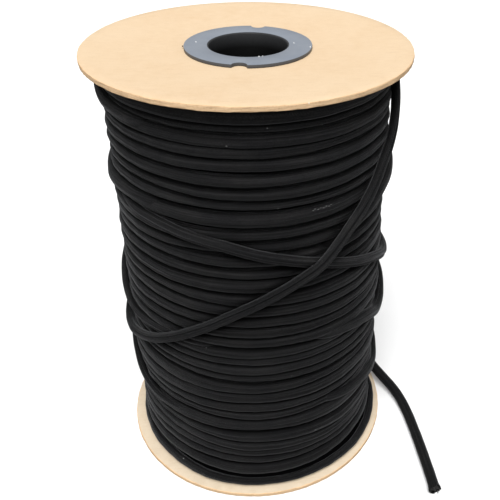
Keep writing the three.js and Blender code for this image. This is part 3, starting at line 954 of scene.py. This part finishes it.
def make_inner_turns():
    """The layer under the outer turns, ridged half a turn lower, down to the barrel."""
    angle = np.linspace(-180, 180, INNER_SEGMENTS, endpoint=False)
    edges, _ = groove_lines(angle)
    radii = [np.minimum(form_radius(angle, edge), INNER_MOST) - INNER_DEPTH for edge in edges]
    foot = form_radius(angle, edges[-1]) - INNER_DEPTH + INNER_FOOT
    columns = [(np.full(len(angle), BARREL_R + GAP), edges[-1] + DISH), (foot, edges[-1] + 0.0003),
               (foot - 0.0008, edges[-1] + 0.0012)]
    for turn in range(len(edges) - 2, 0, -1):
        columns.append((radii[turn + 1] - INNER_RIDGE, (edges[turn + 1] + edges[turn]) / 2))
        columns.append((radii[turn], edges[turn]))
    columns.append((radii[0] - 0.003, edges[0] - 0.001))
    columns.append((np.full(len(angle), BARREL_R + GAP), edges[0] - DISH))
    sections = np.stack([np.stack(column, axis=-1) for column in columns], axis=1)
    piece = lathe("inner_turns", sections, angle)
    dress(piece, "black_braid", DEEP_BRAID)
    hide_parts("winding")


def sunk_at_the_ends(route):
    """A crossing's route with one more point at each end, under the outer turns."""
    first, second = np.array(route[0]), np.array(route[1])
    last, before = np.array(route[-1]), np.array(route[-2])
    lead = first + (first - second) * SINK_ANGLE / abs(first[0] - second[0])
    tail = last + (last - before) * SINK_ANGLE / abs(last[0] - before[0])
    lead[2] = first[2] - SINK_RADIUS
    tail[2] = last[2] - SINK_RADIUS
    return np.vstack([lead, route, tail])


def outward_at(points):
    """The level way out from the reel's axis at each point."""
    return unit(points * [1.0, 1.0, 0.0])


def make_crossings():
    """The stretches that cross the even turns, a little uneven and flattened against them."""
    for name, width, fold, fold_angle, route in CROSSINGS:
        stops = sunk_at_the_ends(route)
        points = spline(on_reel(stops[:, 0], stops[:, 1], stops[:, 2]), CROSSING_STEP)
        along = lengths_along(points)
        uneven = wander(along, (0.053, 0.031, 0.012), 0.00012, rng)
        across = width * 1.03 + uneven
        thick = width * 0.98 + wander(along, (0.043, 0.017), 0.0001, rng)
        rings = cord_rings(points, outward_at(points), across, thick, CROSSING_SIDES,
                           CROSSING_SQUARENESS, fold, fold_angle)
        piece = dress(tube(name, rings, along + rng.random()), "black_braid", BRAID)
        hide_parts("winding")


def make_last_turn():
    """The last turn's run, on into the loose end, so that the cord goes on without a seam."""
    face = np.array(LOOSE_ROUTE[0])
    ahead = unit(np.array(LOOSE_ROUTE[1]) - face)
    stops = np.array(LAST_TURN)
    points = np.vstack([on_reel(stops[:, 0], stops[:, 1], stops[:, 2]), face - ahead * LIFT_OFF_RUN / 2,
                        face, face + ahead * TUCK_IN])
    points = spline(points, LAST_TURN_STEP)
    along = lengths_along(points)
    width = CORD_D - LAST_TURN_SLACK
    rings = cord_rings(points, outward_at(points), width, width, LAST_TURN_SIDES, ROUND)
    piece = dress(tube("last_turn", rings, along), "black_braid", BRAID)
    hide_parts("winding")


HEIGHT_WAVES = make_waves((0.31, 0.173, 0.087, 0.041), WOBBLE_HEIGHT)
RADIUS_WAVES = make_waves((0.23, 0.127, 0.061, 0.029, 0.013), WOBBLE_RADIUS)
turns = make_turns()
make_inner_turns()
make_crossings()
make_last_turn()
make_lint(turns)


# The reel

FLANGE_SEGMENTS = 240
RIM_ROUND = 0.0005
RIM_ROWS = range(5, 12)
RIM_ROUGHNESS = 0.00010
RIM_WAVES = 0.00007
LOWER_EDGE_ROUGHNESS = 0.00007
HUB_STEPS = 180
NOTCH_HALF_ANGLE = 6.9
NOTCH_STEPS = 47
BARREL_SEGMENTS = 96


def at_end(section, top):
    """A section drawn below height 0, moved to the top end or mirrored to the bottom end."""
    placed = section.copy()
    placed[..., 1] = REEL_TOP + section[..., 1] if top else -section[..., 1]
    return placed


def make_flange(name, node, top):
    """A dished board with a rounded, rough cut rim."""
    angles = np.linspace(0, 360, FLANGE_SEGMENTS, endpoint=False)
    outline = np.array([
        (BARREL_INNER_R, -DISH), (BARREL_INNER_R, -DISH - FLANGE_T), (SEAT_R, -DISH - FLANGE_T),
        (DISH_MIDDLE_R, -FLANGE_T - DISH * DISH_MIDDLE_SHARE), (RIM_INNER_R, -FLANGE_T),
        (FLANGE_R - RIM_ROUND, -FLANGE_T), (FLANGE_R - 0.00013, -FLANGE_T + 0.00018),
        (FLANGE_R, -FLANGE_T + RIM_ROUND), (FLANGE_R - 0.00006, -FLANGE_T * 0.66),
        (FLANGE_R - 0.00002, -FLANGE_T * 0.34), (FLANGE_R, -RIM_ROUND), (FLANGE_R - 0.00013, -0.00016),
        (FLANGE_R - RIM_ROUND, 0.0), (RIM_INNER_R, 0.0), (DISH_MIDDLE_R, -DISH * DISH_MIDDLE_SHARE),
        (SEAT_R, -DISH),
    ])
    sections = np.repeat(outline[None], FLANGE_SEGMENTS, axis=0)
    rough = rng.normal(size=(FLANGE_SEGMENTS, len(RIM_ROWS))) * RIM_ROUGHNESS
    slow = wander(np.radians(angles), (2 * np.pi / 5, 2 * np.pi / 13, 2 * np.pi / 31), RIM_WAVES, rng)
    sections[:, list(RIM_ROWS), 0] += rough - np.abs(slow)[:, None]
    sections[:, list(RIM_ROWS)[:2], 1] += rng.normal(size=(FLANGE_SEGMENTS, 2)) * LOWER_EDGE_ROUGHNESS
    piece = lathe(name, at_end(sections, top), angles, second_rows=RIM_ROWS)
    dress(piece, "pressboard", TOP_BOARD if top else BOTTOM_BOARD, CUT_EDGE)
    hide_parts(node)


def hub_angles():
    """Ways round the hub, closer together at the notches."""
    even = np.linspace(-180, 180, HUB_STEPS, endpoint=False)
    offsets = np.linspace(-NOTCH_HALF_ANGLE, NOTCH_HALF_ANGLE, NOTCH_STEPS)
    near = [angle + offset for angle in NOTCH_ANGLES for offset in offsets]
    together = np.concatenate([even, (np.array(near) + 180) % 360 - 180])
    return np.unique(np.round(together, 3))


def ring_radius(angles):
    """The ring's outer radius, drawn in where a notch is."""
    radius = np.full(len(angles), HUB_R)
    for notch in NOTCH_ANGLES:
        offset = np.radians((angles - notch + 180) % 360 - 180)
        aside = NOTCH_CENTRE_R * np.sin(offset)
        inside = (np.abs(aside) < NOTCH_R) & (np.abs(offset) < 1)
        reach = NOTCH_CENTRE_R * np.cos(offset) - np.sqrt(np.clip(NOTCH_R ** 2 - aside ** 2, 0, None))
        radius = np.where(inside, np.minimum(radius, reach), radius)
    return radius


def make_hub(name, node, top):
    """A notched ring with a rounded mouth and a sleeve down into the bore."""
    angles = hub_angles()
    outer = ring_radius(angles)
    lip = BORE_LIP * (1 - math.sqrt(0.5))
    fixed = [(BORE_R, -SLEEVE_L), (SLEEVE_R, -SLEEVE_L), (SLEEVE_R, -HUB_RING_T)]
    moving = [(0.0, -HUB_RING_T), (0.0, -HUB_EDGE), (HUB_EDGE * 0.3, -HUB_EDGE * 0.3), (HUB_EDGE, 0.0)]
    closing = [(BORE_R + BORE_LIP + 0.00035, 0.0), (BORE_R + BORE_LIP, -LIP_DROP),
               (BORE_R + lip, -LIP_DROP - lip), (BORE_R + 0.0001, -LIP_DROP - BORE_LIP * 0.7),
               (BORE_R, -LIP_DROP - BORE_LIP)]
    rows = [np.broadcast_to(corner, (len(angles), 2)) for corner in fixed]
    rows += [np.stack([outer - inset, np.full(len(angles), height)], axis=-1) for inset, height in moving]
    rows += [np.broadcast_to(corner, (len(angles), 2)) for corner in closing]
    sections = np.stack(rows, axis=1)
    first_of_sleeve = len(fixed) + len(moving) + 1
    dark = [0, 1, *range(first_of_sleeve, sections.shape[1])]
    piece = lathe(name, at_end(sections, top), angles, second_rows=dark)
    dress(piece, "hub_plastic", HUB_RING, HUB_SLEEVE)
    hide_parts(node)


def make_barrel():
    """The tube that joins the two ends."""
    low = REEL_TOP - top_flange_face(SEAT_R) + GAP
    high = REEL_TOP - low
    outline = np.array([(BARREL_INNER_R, low), (BARREL_R, low), (BARREL_R, high), (BARREL_INNER_R, high)])
    angles = np.linspace(0, 360, BARREL_SEGMENTS, endpoint=False)
    piece = lathe("paperboard_barrel", np.repeat(outline[None], BARREL_SEGMENTS, axis=0), angles)
    dress(piece, "kraft_board", kraft_material())
    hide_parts("barrel")


TOP_BOARD = pressboard_material("pressboard_top", (0.690, 0.520, 0.345, 1), (0.660, 0.487, 0.310, 1),
                                (0.710, 0.552, 0.376, 1))
# The bottom board is a paler, greyer copy of the top board's tones: painted light, for how the light falls on
# the lower flange.
BOTTOM_BOARD = pressboard_material("pressboard_bottom", (0.655, 0.545, 0.405, 1), (0.620, 0.510, 0.370, 1),
                                   (0.670, 0.565, 0.430, 1))
CUT_EDGE = cut_edge_material()
HUB_RING = ring_material()
HUB_SLEEVE = sleeve_material()
CHIPS = grained_material("pale_chips", 2500.0, 2.0, (0.70, 0.70, 0.70), (0.90, 0.90, 0.88), 0.00003,
                         Roughness=0.9)
make_flange("flange_top", "top_flange", True)
make_flange("flange_bottom", "bottom_flange", False)
make_hub("hub_top", "top_hub", True)
make_hub("hub_bottom", "bottom_hub", False)
make_barrel()
make_crumbs()


# Floor and light

def make_floor():
    """A wide pale floor. The world gives the light that comes up from it."""
    reach = 6.0
    floor = link("floor", [(-reach, -reach, 0), (reach, -reach, 0), (reach, reach, 0), (-reach, reach, 0)],
                 [(0, 1, 2, 3)])
    pale = grained_material("pale_floor", 14.0, 3.0, (0.90, 0.90, 0.90), (0.93, 0.93, 0.93), 0.0002,
                            Roughness=0.9, Specular_IOR_Level=0.1)
    floor.data.materials.append(pale)
    floor.visible_diffuse = False


def make_world():
    """Even light from above, and less of it from below the horizon."""
    world = bpy.data.worlds.new("studio")
    world.use_nodes = True
    tree = world.node_tree
    direction = tree.nodes.new("ShaderNodeTexCoord")
    split = tree.nodes.new("ShaderNodeSeparateXYZ")
    rise = tree.nodes.new("ShaderNodeMapRange")
    ends = {"From Min": -HORIZON_SOFTNESS, "From Max": HORIZON_SOFTNESS,
            "To Min": GROUND_STRENGTH, "To Max": SKY_STRENGTH}
    for key, value in ends.items():
        rise.inputs[key].default_value = value
    tree.links.new(direction.outputs["Generated"], split.inputs[0])
    tree.links.new(split.outputs["Z"], rise.inputs["Value"])
    tree.links.new(rise.outputs[0], tree.nodes["Background"].inputs["Strength"])
    tree.nodes["Background"].inputs["Color"].default_value = (1, 1, 1, 1)
    bpy.context.scene.world = world


def make_key_light():
    """A wide soft light, high in front."""
    data = bpy.data.lights.new("key", "SUN")
    data.energy = KEY_STRENGTH
    data.angle = math.radians(KEY_WIDTH)
    lamp = bpy.data.objects.new("key", data)
    rise = math.radians(KEY_ELEVATION)
    lamp.location = on_reel(KEY_ANGLE, 2 * math.sin(rise), 2 * math.cos(rise)).tolist()
    lamp.rotation_euler = (-lamp.location).to_track_quat("-Z", "Y").to_euler()
    bpy.context.scene.collection.objects.link(lamp)


make_floor()
make_world()
make_key_light()
bpy.context.scene.view_settings.view_transform = "Standard"
